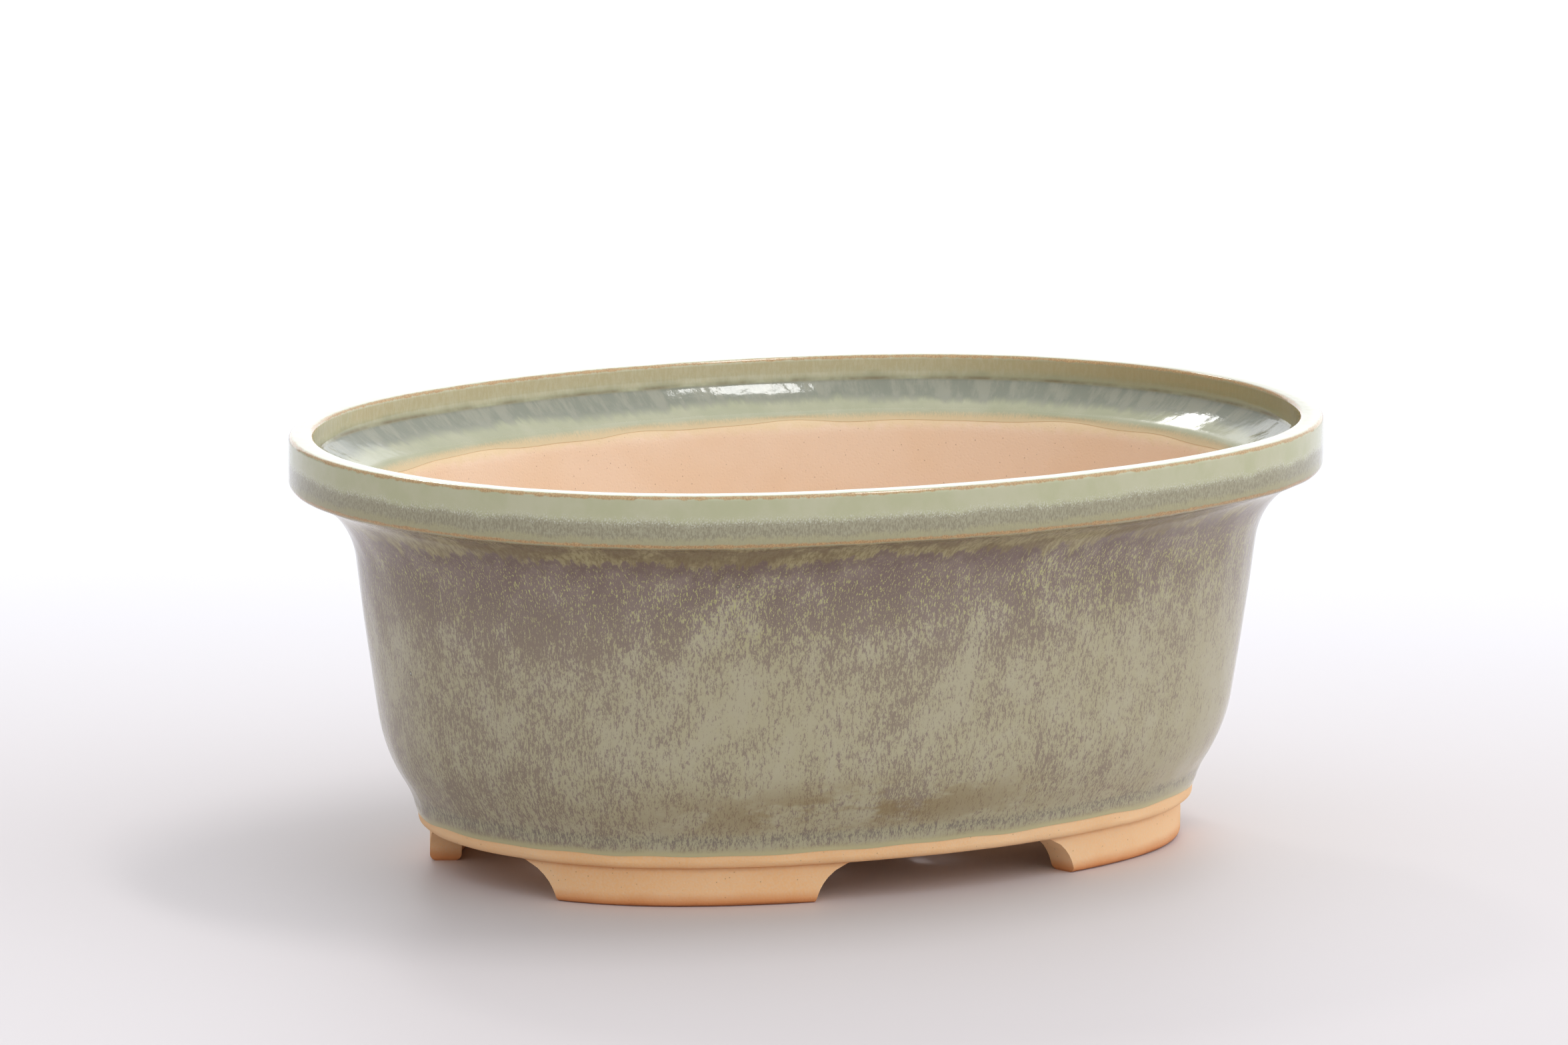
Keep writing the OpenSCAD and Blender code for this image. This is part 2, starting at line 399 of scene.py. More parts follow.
def glaze_piece():
    """The glaze: an uneven skin, feathered inside, pooled under the lip and rolled at the base."""
    even = chain(*glazed(0))
    run = lengths(even) - TOP_RUN
    to_start, to_end = run - run[0], run[-1] - run
    to_corner = run - MARK["corner"]
    feather = (GLAZE - THIN) * smooth(1 - to_start / FEATHER_LENGTH)
    roll = ROLL_SIZE * np.exp(-(((to_end - ROLL_FROM_END) / ROLL_WIDTH) ** 2))
    pool = POOL_SIZE * np.exp(-((to_corner / np.where(to_corner < 0, POOL_LOW, POOL_HIGH)) ** 2))
    waves = (
        (0.07, Ripple(26, 90, 22, 30)),
        (0.018, Ripple(40, 22, 7, 12)),
        (0.035, Ripple(24, 32, 9, 150)),
    )
    calm = smooth(np.minimum(to_start, to_end) / 4.0)  # no waves at the two ends, and small ones on the lip
    calm *= np.clip(1 - np.exp(-((run / 9.0) ** 2)), 0.25, 1)
    swell = sum(size * wave.at(TURN[:, None], run) for size, wave in waves) * calm
    # Each section point slides along the even path, so that the ends of the glaze can wander.
    slide = line_shift()[:, None] * smooth(1 - to_end / (MARK["glaze_end"] - MARK["base"]))
    slide = slide - inner_line_shift()[:, None] * smooth(1 - to_start / (MARK["slope_low"] - run[0]))
    longer = chain(*glazed(0, SPARE))
    place = lengths(longer) - TOP_RUN - SPARE
    out = outward(longer)

    def shifted(rise):
        """The glazed surface after the slide, raised by an amount given per section point."""
        at = run + slide
        points = [np.interp(at, place, column) for column in (*longer.T, *out.T)]
        return np.stack([points[0] + points[2] * rise, points[1] + points[3] * rise], -1)

    outside = shifted(roll + pool - feather + swell)
    inside = shifted(-clay_depth(run))
    # The side on the clay can't be seen, so every second point is enough.
    hidden = np.unique(np.append(np.arange(0, len(run), 2), len(run) - 1))[::-1]
    sections = np.concatenate([outside, inside[:, hidden]], axis=1)
    runs = np.concatenate([run, run[hidden]])
    return swept("glaze_skin", sections, runs)


LINE_WAVES = [Ripple(9, 190, 45, 1), Ripple(14, 40, 12, 1), Ripple(9, 200, 60, 1), Ripple(14, 50, 14, 1)]


def line_shift():
    """How far down the lower glaze line wanders, in millimetres, for each point round the oval."""
    slow = -LINE_RISE * smooth((np.cos(OVAL.angle - LINE_RISE_TOWARD) - 0.1) / 0.9)
    return slow + 0.12 * LINE_WAVES[0].at(TURN) + 0.07 * LINE_WAVES[1].at(TURN)


def inner_line_shift():
    """The same for the end of the glaze inside."""
    return 0.5 * LINE_WAVES[2].at(TURN) + 0.25 * LINE_WAVES[3].at(TURN)


def bare_inside():
    """The bare inside, from the floor up to the end of the glaze."""
    return chain(
        arc(FLOOR_C, FLOOR_ROUND, PI + FLOOR_LAP, PI + FLOOR_A),
        arc(BELLY_C, BELLY_INNER, PI + FLOOR_A, PI + WALL_LEAN),
        arc(SHOULDER_C, SHOULDER - GLAZE, WALL_LEAN, GLAZE_END_A),
    )


def wall_piece():
    """The clay wall: glazed outside, bare inside."""
    bare = bare_inside()
    foot = [[bare[0, 0], FLOOR_TOP]]
    inside = np.concatenate([foot, between(bare, bare[0, 1], RIM_LEVEL)])
    return clay_ring("wall_clay", inside, outside_clay(FLOOR_TOP, RIM_LEVEL)[::-1])


def rim_piece():
    """The clay of the rim, from the cove under the band over the lip to the bare inside."""
    bare = bare_inside()
    clay = clay_surface()
    top = np.argmax(clay[:, 1])
    inside = between(bare, RIM_LEVEL, bare[-1, 1])
    over = np.concatenate([clay[1 : top + 1], outside_clay(RIM_LEVEL, clay[top, 1] - 0.05)[::-1]])
    return clay_ring("rim_clay", inside, over)


def outside_clay(low, high):
    """The clay's outside between two levels, from the bottom up."""
    clay = clay_surface()
    return between(clay[np.argmax(clay[:, 1]) :], low, high)


def clay_ring(name, inside, outside):
    """A ring of clay from a path up its inside and one over and down its outside."""
    section = np.concatenate([inside, outside])
    count = len(inside)
    rough = Ripple(40, 60, 10, 18)
    level = inside[:, 1]
    fade = smooth((level - level[0]) / 3) * smooth((level[-1] - level) / 3)
    sway = 0.05 * rough.at(TURN[:, None], level) * fade
    sections = np.broadcast_to(section, (AROUND,) + section.shape).copy()
    sections[:, :count] += outward(inside) * sway[..., None]
    return swept(name, sections, section[:, 1])


def floor_piece():
    """The floor slab: bare rounded edge, flat faces, and holes with softened edges."""
    edge = chain(
        outside_clay(GLAZE_LINE, FLOOR_TOP)[::-1],
        arc(np.array([EDGE_D, EDGE_Z]), EDGE_ROUND, PI, 1.5 * PI, 0.2),
    )
    insets, heights = edge.T
    wobble = 0.06 * Ripple(16, 60, 14, 1).at(TURN)
    low = smooth((GLAZE_LINE - 0.5 - heights) / 1.0)
    ring = OVAL.at(insets + wobble[:, None] * low, np.broadcast_to(heights, (AROUND, len(heights))))
    work = bmesh.new()
    rows = [[work.verts.new(p) for p in row] for row in ring]
    for i in range(AROUND):
        a, b = rows[i], rows[(i + 1) % AROUND]
        for j in range(len(heights) - 1):
            work.faces.new((a[j], a[j + 1], b[j + 1], b[j]))
    top = [loop_edges(work, [row[0] for row in rows])]
    bottom = [loop_edges(work, [row[-1] for row in rows])]
    for x, y, radius in hole_places():
        upper, lower = bore(work, x, y, radius)
        top.append(upper)
        bottom.append(lower)
    for loops in (top, bottom):
        bmesh.ops.triangle_fill(work, use_beauty=True, edges=[e for loop in loops for e in loop])
    mesh = bpy.data.meshes.new("floor_clay")
    work.to_mesh(mesh)
    work.free()
    piece = new_object("floor_clay", mesh)
    finish_mesh(piece)
    wrap_attribute(piece, [v.co / MM for v in piece.data.vertices])
    return piece


def loop_edges(work, verts):
    """The edges of a closed loop of points, made where they are missing."""
    return [work.edges.get((a, b)) or work.edges.new((a, b)) for a, b in zip(verts, verts[1:] + verts[:1])]


def hole_places():
    """Centre and radius of each hole in the floor, from the record's bore mounts."""
    mounts = [m for m in frame["record"]["mounts"] if m["kind"] == "bore"]
    return [(m["pos_m"][0] / MM, m["pos_m"][1] / MM, m["dims"]["r_mm"]) for m in mounts]


def bore(work, x, y, radius, soft=0.5, sides=48):
    """A hole through the slab with rounded edges. Returns its top and bottom loops of edges."""
    turn = np.linspace(0, 2 * PI, sides, endpoint=False)
    steps = np.linspace(0, PI / 2, 5)
    rim = [(soft * (1 - math.sin(a)), soft * (1 - math.cos(a))) for a in steps]
    levels = [(radius + grow, FLOOR_TOP - sink) for grow, sink in rim]
    levels += [(radius + grow, FOOT_HEIGHT + sink) for grow, sink in reversed(rim)]
    rings = [
        [work.verts.new(Vector((x + r * math.cos(a), y + r * math.sin(a), z)) * MM) for a in turn]
        for r, z in levels
    ]
    for a, b in zip(rings, rings[1:]):
        for k in range(sides):
            n = (k + 1) % sides
            work.faces.new((a[k], a[n], b[n], b[k]))
    return loop_edges(work, rings[0]), loop_edges(work, rings[-1])


def foot_piece(node, sign_x, sign_y):
    """One foot: a strip along the oval with hollowed ends and softened edges."""
    soft, top_soft = 1.3, 0.35
    outer = chain(
        arc(np.array([FOOT_INSET + top_soft, FOOT_HEIGHT - top_soft]), top_soft, PI / 2, PI, 0.12),
        arc(np.array([FOOT_INSET + soft, soft]), soft, PI, 1.5 * PI, 0.2),
    )
    mirror = np.array([2 * FOOT_INSET + FOOT_THICKNESS, 0])
    inner = mirror + outer * [-1, 1]
    flat = line(outer[-1], inner[-1], 0.8)
    half = np.concatenate([outer, flat[: len(flat) // 2]])
    other = mirror + half * [-1, 1]
    # The ends are hollowed square to the oval, by a cylinder whose axis lies near the table.
    axis_z = FOOT_HEIGHT - FOOT_COVE + 0.15
    reach = math.sqrt(FOOT_COVE**2 - axis_z**2)
    bow = np.sqrt(FOOT_COVE**2 - (half[:, 1] - axis_z) ** 2) - reach
    end_x, end_y = FOOT_ENDS[node]
    start = np.array([angle_where(FOOT_INSET, "x", end_x + b) for b in bow])
    end = np.array([angle_where(FOOT_INSET, "y", end_y + b) for b in bow])
    steps = 90
    work = bmesh.new()
    grid = {}
    for side, points in (("out", half), ("in", other)):
        for j, (inset, z) in enumerate(points):
            for k, share in enumerate(np.linspace(0, 1, steps)):
                x, y = oval_point(start[j] + (end[j] - start[j]) * share, inset)
                grid[side, j, k] = work.verts.new(Vector((sign_x * x, sign_y * y, z)) * MM)
    m = len(half)
    for k in range(steps - 1):
        for side in ("out", "in"):
            for j in range(m - 1):
                work.faces.new([grid[side, *c] for c in ((j, k), (j + 1, k), (j + 1, k + 1), (j, k + 1))])
        for j in (0, m - 1):
            around = (("out", j, k), ("out", j, k + 1), ("in", j, k + 1), ("in", j, k))
            work.faces.new([grid[c] for c in around])
    for k in (0, steps - 1):
        for j in range(m - 1):
            around = (("out", j, k), ("out", j + 1, k), ("in", j + 1, k), ("in", j, k))
            work.faces.new([grid[c] for c in around])
    mesh = bpy.data.meshes.new(node + "_clay")
    work.to_mesh(mesh)
    work.free()
    piece = new_object(node + "_clay", mesh)
    finish_mesh(piece)
    soften = piece.modifiers.new("soft edges", "BEVEL")
    soften.width = 1.1 * MM
    soften.segments = 5
    soften.angle_limit = math.radians(35)
    wrap_attribute(piece, [v.co / MM for v in piece.data.vertices])
    return piece


def quarter_oval():
    """Angles and points of the oval's first quarter."""
    quarter = OVAL.angle <= PI / 2 + 1e-6
    return OVAL.angle[quarter], OVAL.x[quarter], OVAL.y[quarter]


def oval_point(angle, inset):
    """Point of the oval at an inset, where its normal has that angle."""
    angles, xs, ys = quarter_oval()
    x = np.interp(angle, angles, xs)
    y = np.interp(angle, angles, ys)
    return x - inset * math.cos(angle), y - inset * math.sin(angle)


def angle_where(inset, axis, value):
    """Direction of the oval's normal where the oval at an inset has that x or y."""
    angles, xs, ys = quarter_oval()
    if axis == "x":
        across = xs - inset * np.cos(angles)
        return np.interp(-value, -across, angles)
    across = ys - inset * np.sin(angles)
    return np.interp(value, across, angles)


# ---------------------------------------------------------------- materials
def srgb(r, g, b):
    """A colour given as 0 to 255 display values, as linear light."""

    def one(v):
        v /= 255
        return v / 12.92 if v <= 0.04045 else ((v + 0.055) / 1.055) ** 2.4

    return (one(r), one(g), one(b), 1.0)


class Paint:
    """A material's node tree. Each method adds one node and returns its output socket."""

    def __init__(self, name):
        self.material = bpy.data.materials.new(name)
        self.material.use_nodes = True
        self.tree = self.material.node_tree
        self.shader = self.tree.nodes["Principled BSDF"]

    def put(self, socket, value):
        """Link or set the value of a socket."""
        if isinstance(value, bpy.types.NodeSocket):
            self.tree.links.new(value, socket)
        else:
            socket.default_value = value

    def node(self, kind, inputs, output=0, **settings):
        made = self.tree.nodes.new(kind)
        for key, value in settings.items():
            setattr(made, key, value)
        for key, value in inputs.items():
            self.put(made.inputs[key], value)
        return made.outputs[output]

    def math(self, operation, *values):
        return self.node("ShaderNodeMath", dict(enumerate(values)), operation=operation)

    def add(self, a, b):
        return self.math("ADD", a, b)

    def times(self, a, b):
        return self.math("MULTIPLY", a, b)

    def wrap(self):
        """Place on the unrolled glaze, in millimetres."""
        return self.node("ShaderNodeAttribute", {}, 1, attribute_name="wrap")

    def place(self):
        """Place on the object, in metres."""
        return self.node("ShaderNodeTexCoord", {}, 3)

    def scaled(self, vector, x, y, z):
        return self.node("ShaderNodeVectorMath", {0: vector, 1: (x, y, z)}, operation="MULTIPLY")

    def moved(self, vector, x, y, z):
        return self.node("ShaderNodeVectorMath", {0: vector, 1: (x, y, z)}, operation="ADD")

    def along(self, vector):
        return self.node("ShaderNodeSeparateXYZ", {0: vector}, 0)

    def height(self, vector):
        return self.node("ShaderNodeSeparateXYZ", {0: vector}, 2)

    def toward(self, vector, direction):
        return self.node("ShaderNodeVectorMath", {0: vector, 1: direction}, 1, operation="DOT_PRODUCT")

    def noise(self, vector, scale, detail=3.0, rough=0.5, warp=0.0):
        inputs = {"Vector": vector, "Scale": scale, "Detail": detail, "Roughness": rough, "Distortion": warp}
        return self.node("ShaderNodeTexNoise", inputs)

    def cells(self, vector, scale):
        return self.node("ShaderNodeTexVoronoi", {"Vector": vector, "Scale": scale})

    def rise(self, value, low, high, start=0.0, end=1.0):
        """A smooth step of value from low to high."""
        inputs = {0: value, 1: low, 2: high, 3: start, 4: end}
        return self.node("ShaderNodeMapRange", inputs, interpolation_type="SMOOTHSTEP")

    def bump_at(self, value, middle, width):
        """One at the middle, falling to nothing a width away on both sides."""
        away = self.math("ABSOLUTE", self.math("SUBTRACT", value, middle))
        return self.rise(away, width, 0.0)

    def mix(self, share, a, b):
        """Colour a, with a share of colour b over it."""
        made = self.tree.nodes.new("ShaderNodeMix")
        made.data_type = "RGBA"
        for index, value in ((0, share), (6, a), (7, b)):
            self.put(made.inputs[index], value)
        return made.outputs[2]

    def finish(self, colour, roughness, height, depth):
        """Join the looks to the shader. The height is a bump with that depth in metres."""
        self.put(self.shader.inputs["Base Color"], colour)
        self.put(self.shader.inputs["Roughness"], roughness)
        bump = self.node("ShaderNodeBump", {"Height": height, "Distance": depth, "Strength": 1.0})
        self.put(self.shader.inputs["Normal"], bump)
        return self.material


class GlazeNoises:
    """The noises that the parts of the glaze share, from broad patches to grain.

    Most are drawn out down the wall, as the glaze ran.
    """

    def __init__(self, p, at):
        self.broad = p.noise(p.scaled(at, 1, 1, 0.7), 0.03, 2.0)
        self.cloud = p.noise(p.moved(p.scaled(at, 1, 1, 0.75), 60, 20, 7), 0.13, 4.0, 0.6)
        self.stain = p.noise(p.scaled(at, 0.5, 0.5, 1.1), 0.14, 4.0, 0.66)
        self.ragged = p.noise(p.scaled(at, 1, 1, 0.22), 0.36, 5.0, 0.66)
        self.streak = p.noise(p.scaled(at, 1, 1, 0.28), 1.6, 4.0, 0.7, 0.1)
        self.fleck = p.noise(p.scaled(at, 1, 1, 0.36), 3.5, 3.0, 0.75)
        self.grain = p.noise(p.scaled(at, 1, 1, 0.7), 4.4, 2.0, 0.6)
        fine = p.add(p.times(self.streak, 0.4), p.times(self.grain, 0.1))
        self.mixed = p.add(p.times(self.fleck, 0.5), fine)


def around_half(p, noise, size):
    """A noise spread by a size about nothing instead of about one half."""
    return p.times(p.add(noise, -0.5), size)


def wall_glaze(p, at, run, n):
    """Fine cream flecks over mauve brown, thin under the rim and almost closed at the base."""
    top = MARK["cove_top"]
    along = p.along(at)
    density = p.add(p.rise(run, top + 5, top + 15, -0.85, -0.05), p.rise(run, top + 12, top + 38, 0.0, 0.85))
    # Painted light: fewer cream flecks to the left and more to the right, so the wall is painted darker on
    # the left and lighter on the right, as the light falls.
    density = p.add(density, p.add(p.rise(along, -95, -30, -0.25, 0.0), p.rise(along, 0, 70, 0.0, 0.25)))
    density = p.add(density, p.add(around_half(p, n.cloud, 2.3), around_half(p, n.broad, 1.2)))
    level = p.add(0.545, p.times(density, -0.1))
    seen = p.rise(p.math("SUBTRACT", n.mixed, level), -0.035, 0.05)

    low = p.rise(run, top + 8, top + 34)
    mauve = p.mix(low, srgb(126, 107, 100), srgb(142, 126, 110))
    mauve = p.mix(p.rise(n.cloud, 0.38, 0.66), mauve, srgb(142, 125, 116))
    cream = p.mix(low, srgb(174, 167, 117), srgb(184, 176, 141))
    cream = p.mix(p.rise(n.cloud, 0.4, 0.7), cream, srgb(188, 181, 150))
    wall = p.mix(p.times(seen, 0.9), mauve, cream)
    wall = p.mix(p.times(low, 0.12), wall, srgb(168, 158, 126))
    # Painted light: the wall is lightened towards the right, most just under the rim, for the light that
    # falls from the right.
    right = p.times(p.rise(along, 15, 85), p.rise(run, top + 30, top + 8, 0.1, 0.4))
    wall = p.mix(right, wall, srgb(164, 152, 134))

    spark = p.times(p.rise(n.fleck, 0.57, 0.61), p.bump_at(run, top + 15, 14.0))
    wall = p.mix(p.times(spark, 0.85), wall, srgb(190, 188, 122))
    ochre = p.bump_at(run, (MARK["belly"] + MARK["base"]) / 2 + 4, 9.0)
    ochre = p.times(ochre, p.bump_at(along, -22, 62))
    return p.mix(p.times(ochre, p.rise(n.stain, 0.4, 0.56, 0.0, 0.8)), wall, srgb(143, 122, 82))


def rim_strip(p, wall, run, n):
    """Under the rim: an olive strip that ends in ragged drips over darker brown."""
    drip = p.add(around_half(p, n.ragged, 15.0), around_half(p, n.broad, 6.0))
    past = p.math("SUBTRACT", run, p.add(MARK["cove_top"] + 8.2, drip))
    wall = p.mix(p.times(p.bump_at(past, 1.2, 2.2), 0.3), wall, srgb(98, 78, 60))
    tan = p.mix(p.rise(n.streak, 0.4, 0.6), srgb(142, 128, 90), srgb(174, 164, 120))
    tan = p.mix(p.times(p.rise(n.cloud, 0.56, 0.42), 0.7), tan, srgb(120, 102, 74))
    return p.mix(p.times(p.rise(past, 0.5, -0.5), 0.85), wall, tan)


def base_glaze(p, wall, run, n):
    """Base: a speckled belt above a pale green roll of thick glaze."""
    from_end = p.math("SUBTRACT", MARK["glaze_end"], run)
    uneven = around_half(p, n.fleck, 2.2)
    belt = p.bump_at(p.add(from_end, uneven), 3.2, 2.0)
    speck = p.mix(p.rise(n.mixed, 0.44, 0.56), srgb(132, 122, 110), srgb(180, 174, 142))
    wall = p.mix(p.times(belt, 0.85), wall, speck)
    roll = p.rise(p.add(from_end, p.times(uneven, 0.5)), 1.7, 0.3)
    return p.mix(roll, wall, srgb(194, 185, 142))


def band_glaze(p, run, n):
    """Band: pale green above, a grey mottled belt below it, and pale again at the lower edge."""
    edge = MARK["band_edge"]
    down = p.add(run, p.add(around_half(p, n.mixed, 4.0), around_half(p, n.cloud, 2.4)))
    green = p.mix(p.rise(n.cloud, 0.35, 0.65), srgb(188, 188, 151), srgb(196, 194, 162))
    grey = p.mix(p.rise(n.fleck, 0.38, 0.62), srgb(146, 139, 114), srgb(170, 165, 138))
    band = p.mix(p.rise(down, edge - 5.2, edge - 3.9), green, grey)
    frost = p.times(p.bump_at(down, edge - 4.6, 1.4), p.rise(n.grain, 0.53, 0.6))
    band = p.mix(frost, band, srgb(206, 205, 184))
    return p.mix(p.times(p.rise(down, edge - 2.2, edge - 1.0), 0.8), band, srgb(172, 165, 128))


def inside_glaze(p, at, run, n):
    """Inside: olive on the upright face, grey where it pools, pale green before it ends."""
    corner, end = MARK["corner"], MARK["inner_end"]
    olive = p.mix(p.rise(n.streak, 0.4, 0.62), srgb(192, 188, 153), srgb(198, 196, 165))
    olive = p.mix(p.times(p.rise(p.along(at), 45, 96), 0.75), olive, srgb(146, 134, 88))
    foot = p.rise(p.add(run, p.times(n.cloud, 3.0)), corner + 3.6, corner + 1.8)
    olive = p.mix(foot, olive, srgb(160, 160, 126))
    pool = p.mix(p.rise(n.ragged, 0.4, 0.62), srgb(132, 134, 116), srgb(150, 149, 130))
    pale = p.mix(p.rise(n.cloud, 0.35, 0.7), srgb(170, 170, 138), srgb(180, 178, 148))
    inside = p.mix(p.rise(run, corner - 0.3, corner + 0.5), pool, olive)
    # Painted shade: a darker line along the concave corner between the upright lip face and the slope.
    corner_shade = p.times(p.bump_at(run, corner + 0.4, 0.7), p.rise(n.cloud, 0.7, 0.3))
    inside = p.mix(corner_shade, inside, srgb(122, 108, 74))
    finger = p.add(run, p.add(around_half(p, n.ragged, 7.0), around_half(p, n.broad, 6.0)))
    inside = p.mix(p.rise(finger, corner - 4.4, corner - 7.6), inside, pale)
    fade = p.rise(p.add(run, around_half(p, n.fleck, 2.0)), end + 2.2, end + 0.4)
    return p.mix(p.times(fade, 0.8), inside, srgb(226, 200, 156))


def worn_edges(p, colour, at, run, n):
    """The edges, where the glaze is thin and the clay shows orange brown."""
    worn = p.noise(p.scaled(at, 1, 1, 0.5), 0.55, 4.0, 0.7)
    width = p.rise(worn, 0.3, 0.7, 0.1, 0.55)
    tone = p.mix(p.rise(n.grain, 0.35, 0.7), srgb(170, 128, 82), srgb(206, 170, 118))
    for name, share in (("outer_edge", 0.9), ("inner_edge", 0.8), ("band_edge", 0.8)):
        away = p.math("ABSOLUTE", p.math("SUBTRACT", run, MARK[name]))
        thin = p.rise(p.math("SUBTRACT", away, p.times(width, share)), 0.25, -0.12)
        colour = p.mix(p.times(thin, 0.85), colour, tone)
    return colour


def glaze_material():
    """Glossy ash glaze: pale green where thick, mauve brown where thin, flecked where it ran."""
    p = Paint("glaze")
    at = p.wrap()
    run = p.height(at)
    n = GlazeNoises(p, at)

    wall = wall_glaze(p, at, run, n)
    wall = rim_strip(p, wall, run, n)
    wall = base_glaze(p, wall, run, n)
    band_end = MARK["band_edge"]
    outside = p.mix(p.rise(run, band_end + 0.3, band_end + 0.9), band_glaze(p, run, n), wall)
    colour = p.mix(p.rise(run, -0.8, 0.8), inside_glaze(p, at, run, n), outside)
    colour = worn_edges(p, colour, at, run, n)

    # A few pinholes with pale centres.
    hole = p.cells(at, 0.055)
    colour = p.mix(p.rise(hole, 0.034, 0.024), colour, srgb(118, 106, 90))
    colour = p.mix(p.rise(hole, 0.020, 0.012), colour, srgb(200, 200, 186))

    # The surface is pebbled, and matt where the glaze runs out inside.
    pebble = p.noise(at, 0.5, 2.0, 0.4)
    height = p.add(pebble, p.times(p.rise(hole, 0.0, 0.03), 0.6))
    height = p.add(height, p.times(n.grain, 0.03))
    matt = p.rise(run, MARK["inner_end"] + 3.8, MARK["inner_end"] + 1.8, 0.0, 0.42)
    rough = p.add(p.rise(n.grain, 0.3, 0.8, 0.07, 0.15), matt)
    p.shader.inputs["IOR"].default_value = 1.52
    return p.finish(colour, rough, height, 0.05 * MM)


def clay_colour(p, at, warm, pale):
    """Blotchy gritty clay between two colours, and its grit."""
    blotch = p.noise(at, 0.05, 3.0, 0.5)
    grit = p.noise(at, 2.2, 3.0, 0.6)
    colour = p.mix(p.rise(blotch, 0.35, 0.65), warm, pale)
    colour = p.mix(p.times(p.rise(grit, 0.35, 0.7), 0.3), colour, srgb(242, 214, 182))
    dots = p.cells(at, 0.62)
    colour = p.mix(p.times(p.rise(dots, 0.11, 0.05), 0.4), colour, srgb(126, 84, 54))
    return colour, grit


def clay_bump(p, at, grit):
    """Height of the sand and grit of bare clay."""
    sand = p.cells(at, 1.7)
    return p.add(p.times(grit, 0.6), p.times(p.rise(sand, 0.0, 0.5), 0.5))


def foot_material():
    """Bare clay of the base, toasted orange where it stood on the kiln shelf."""
    p = Paint("clay_base")
    at = p.scaled(p.place(), 1 / MM, 1 / MM, 1 / MM)
    colour, grit = clay_colour(p, at, srgb(247, 194, 136), srgb(250, 204, 152))
    level = p.add(p.height(at), p.times(p.add(p.noise(at, 0.12, 3.0), -0.5), 1.4))
    colour = p.mix(p.times(p.rise(level, 3.0, 0.4), 0.8), colour, srgb(216, 132, 66))
    colour = p.mix(p.times(p.rise(level, 0.7, 0.1), 0.5), colour, srgb(150, 80, 44))
    # Painted shadow: a darker line in the groove where the foot meets the ledge.
    groove_shade = p.bump_at(level, 7.4, 0.9)
    colour = p.mix(p.times(groove_shade, 0.35), colour, srgb(186, 124, 72))
    colour = p.mix(p.rise(p.height(at), FLOOR_TOP - 1.5, FLOOR_TOP - 0.4), colour, srgb(241, 213, 185))
    return p.finish(colour, p.rise(grit, 0.3, 0.7, 0.66, 0.78), clay_bump(p, at, grit), 0.05 * MM)


def inner_material():
    """Bare clay of the inside: paler, and yellowed just below the glaze."""
    p = Paint("clay_inside")
    at = p.scaled(p.place(), 1 / MM, 1 / MM, 1 / MM)
    colour, grit = clay_colour(p, at, srgb(240, 210, 180), srgb(243, 216, 190))
    level = p.add(p.height(at), p.times(p.add(p.noise(at, 0.4, 4.0, 0.6), -0.5), 3.0))
    end = POT_HEIGHT - GLAZE_DEPTH
    colour = p.mix(p.times(p.rise(level, end - 2.4, end - 0.4), 0.75), colour, srgb(232, 206, 162))
    return p.finish(colour, p.rise(grit, 0.3, 0.7, 0.74, 0.86), clay_bump(p, at, grit), 0.05 * MM)


def floor_material():
    """The studio floor: matt and pale, with a faint cloudiness, and painted lighter away from the camera as
    painted light.
    """
    p = Paint("studio_floor")
    at = p.place()
    cloud = p.noise(at, 3.0, 3.0)
    colour = p.mix(cloud, srgb(216, 207, 206), srgb(224, 216, 215))
    # Painted light: the floor is painted lighter towards the back, for the bright light behind the pot.
    colour = p.mix(p.rise(p.toward(at, (0.51, 0.86, 0.0)), 0.0, 0.5), colour, srgb(243, 241, 244))
    return p.finish(colour, p.rise(cloud, 0.3, 0.7, 0.56, 0.64), cloud, 0.1 * MM)


# ---------------------------------------------------------------- the pot
def dress(piece, material, slot, *nodes):
    """Give a piece its look, hang it on the root body, and hide the parts of the model that it replaces."""
    piece.data.materials.clear()
    piece.data.materials.append(material)
    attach(piece, "root")
    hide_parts(*nodes)


base_clay = foot_material()
inside_clay = inner_material()
dress(glaze_piece(), glaze_material(), "glaze", "glaze_coat")
dress(wall_piece(), inside_clay, "clay", "wall")
dress(rim_piece(), inside_clay, "clay", "rim")
dress(floor_piece(), base_clay, "clay", "floor_slab")
for word_y, sign_y in (("front", -1), ("back", 1)):
    for word_x, sign_x in (("left", -1), ("right", 1)):
        node = f"foot_{word_y}_{word_x}"
        dress(foot_piece(node, sign_x, sign_y), base_clay, "clay", node)


# ---------------------------------------------------------------- floor, light and camera
def studio_floor():
    """A wide flat floor at the level of the feet."""
    size = 6.0
    corners = [(x * size, y * size, 0) for x, y in ((-1, -1), (1, -1), (1, 1), (-1, 1))]
    mesh = bpy.data.meshes.new("studio_floor")
    mesh.from_pydata(corners, [], [(0, 1, 2, 3)])
    floor = new_object("studio_floor", mesh)
    mesh.materials.append(floor_material())


def softbox(name, position, target, width, height, power):
    """A white rectangular lamp, in metres and watts, turned towards the target."""
    light = bpy.data.lights.new(name, "AREA")
    light.shape = "RECTANGLE"
    light.size, light.size_y = width, height
    light.energy = power
    lamp = new_object(name, light)
    lamp.location = position
    lamp.rotation_mode = "QUATERNION"
    lamp.rotation_quaternion = (Vector(target) - Vector(position)).to_track_quat("-Z", "Y")


CAMERA_AZIMUTH = math.radians(-30.58)  # from the front towards the left
CAMERA_ELEVATION = math.radians(10.22)
CAMERA_ROLL = 0.0046
CAMERA_DISTANCE = 21.0  # in half lengths of the pot
CAMERA_HEIGHT = 0.4  # of the point it was solved about, in half lengths
CAMERA_LENS, SENSOR_WIDTH = 258.9, 36.0
AIM_LEFT, AIM_UP = 0.0048, 0.0211  # from that point to the middle of the frame, in metres


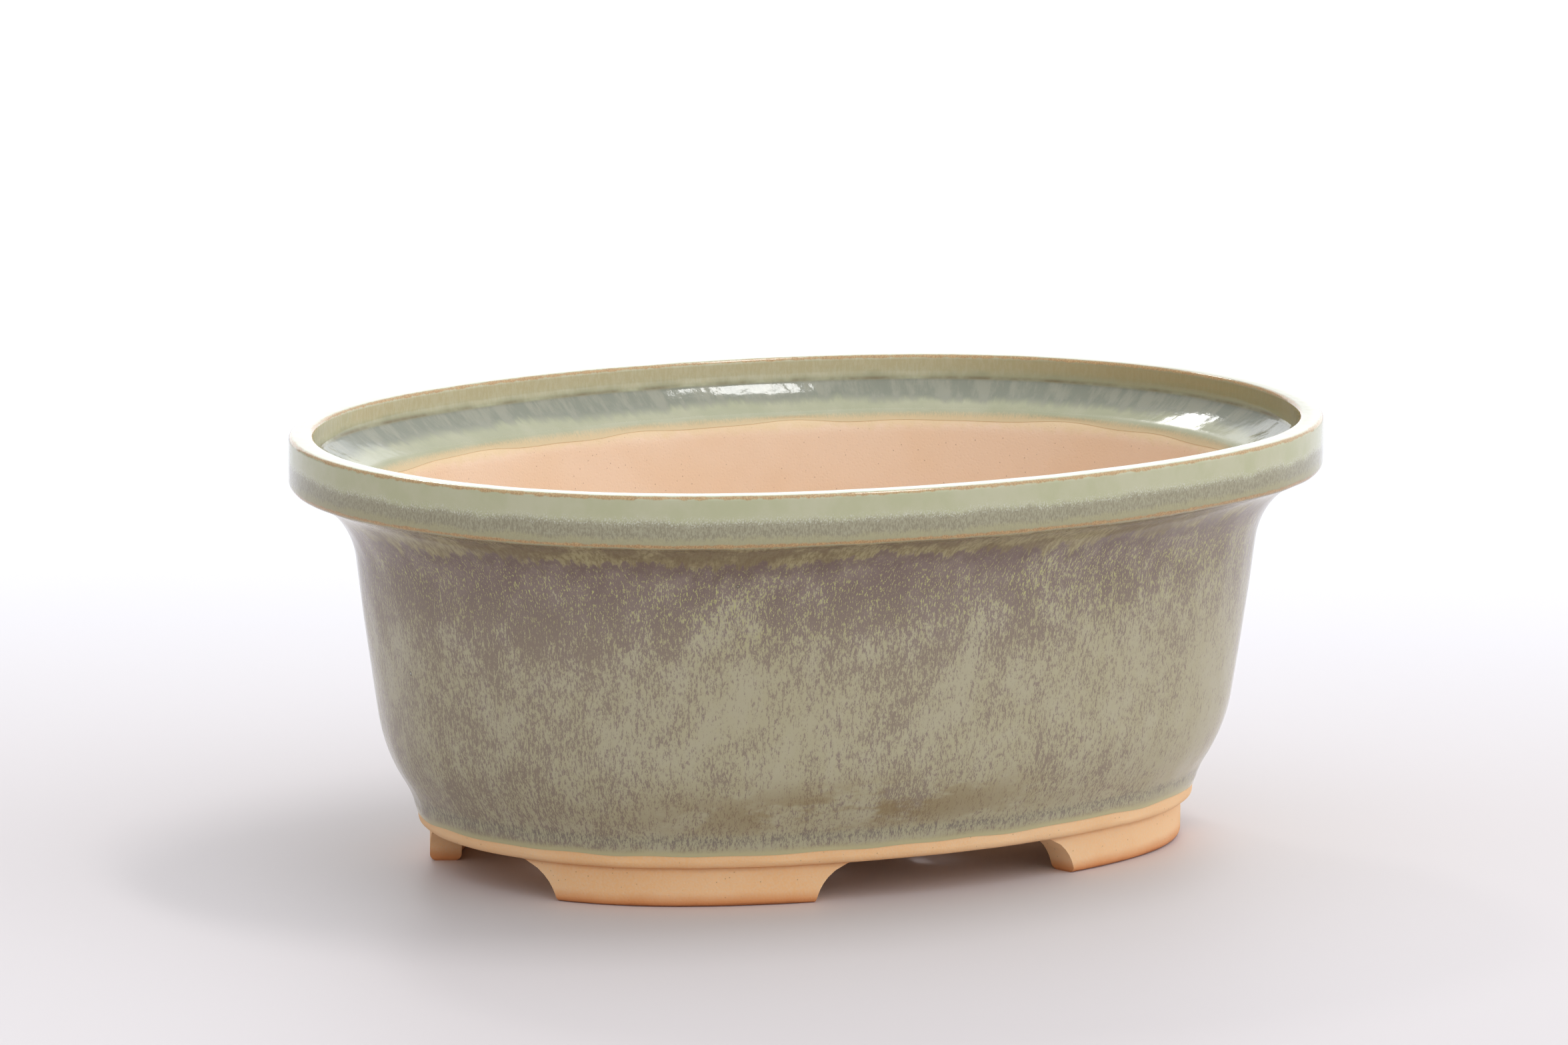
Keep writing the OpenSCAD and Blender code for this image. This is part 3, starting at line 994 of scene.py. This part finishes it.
def camera():
    """Telephoto view from the front left, aimed a little past the pot's middle for the framing."""
    half = HALF_LENGTH * MM
    across, up = math.cos(CAMERA_ELEVATION), math.sin(CAMERA_ELEVATION)
    back = Vector((math.sin(CAMERA_AZIMUTH) * across, -math.cos(CAMERA_AZIMUTH) * across, up))
    target = Vector((0, 0, CAMERA_HEIGHT * half))
    place = target + back * CAMERA_DISTANCE * half
    right = Vector((math.cos(CAMERA_AZIMUTH), math.sin(CAMERA_AZIMUTH), 0))
    aim = target - right * AIM_LEFT + back.cross(right) * AIM_UP
    turn = (aim - place).to_track_quat("-Z", "Y").to_matrix().to_4x4()
    data = bpy.data.cameras.new("camera")
    data.sensor_width = SENSOR_WIDTH
    data.lens = CAMERA_LENS
    data.clip_start, data.clip_end = 0.05, 50
    cam = new_object("camera", data)
    cam.matrix_world = Matrix.Translation(place) @ turn @ Matrix.Rotation(CAMERA_ROLL, 4, "Z")
    bpy.context.scene.camera = cam


def studio_light():
    """A pale tent: bright behind the pot, softer in front, and stronger from the right."""
    world = bpy.data.worlds.new("studio")
    world.use_nodes = True
    tree = world.node_tree
    background = tree.nodes["Background"]
    toward = tree.nodes.new("ShaderNodeTexCoord").outputs["Generated"]

    def facing(direction, low, high, dim, bright):
        """Light that grows from dim to bright towards a direction, between two cosines."""
        dot = tree.nodes.new("ShaderNodeVectorMath")
        dot.operation = "DOT_PRODUCT"
        tree.links.new(toward, dot.inputs[0])
        dot.inputs[1].default_value = Vector(direction).normalized()
        ramp = tree.nodes.new("ShaderNodeMapRange")
        ramp.interpolation_type = "SMOOTHSTEP"
        tree.links.new(dot.outputs["Value"], ramp.inputs[0])
        for index, value in enumerate((low, high, dim, bright), 1):
            ramp.inputs[index].default_value = value
        return ramp.outputs[0]

    def joined(operation, a, b):
        """Two amounts of light put together."""
        made = tree.nodes.new("ShaderNodeMath")
        made.operation = operation
        tree.links.new(a, made.inputs[0])
        tree.links.new(b, made.inputs[1])
        return made.outputs[0]

    behind = facing((0.509, 0.861, 0.12), 0.84, 0.9, 0.0, 1.8)
    right = facing((0.861, -0.509, 0.35), -0.6, 0.9, 0.53, 1.24)
    above = facing((0, 0, 1), 0.35, 0.95, 0.0, 0.1)
    tree.links.new(joined("MAXIMUM", behind, joined("ADD", right, above)), background.inputs["Strength"])
    background.inputs["Color"].default_value = (0.94, 0.975, 1.02, 1)
    bpy.context.scene.world = world
    softbox("window", (0.34, 1.6, 1.4), (0, 0, 0.06), 0.2, 0.24, 2.6)
    softbox("ceiling", (0.66, -0.12, 1.9), (0, 0, 0.06), 0.9, 0.2, 6.5)
    bpy.context.scene.view_settings.view_transform = "Standard"


studio_floor()
studio_light()
camera()
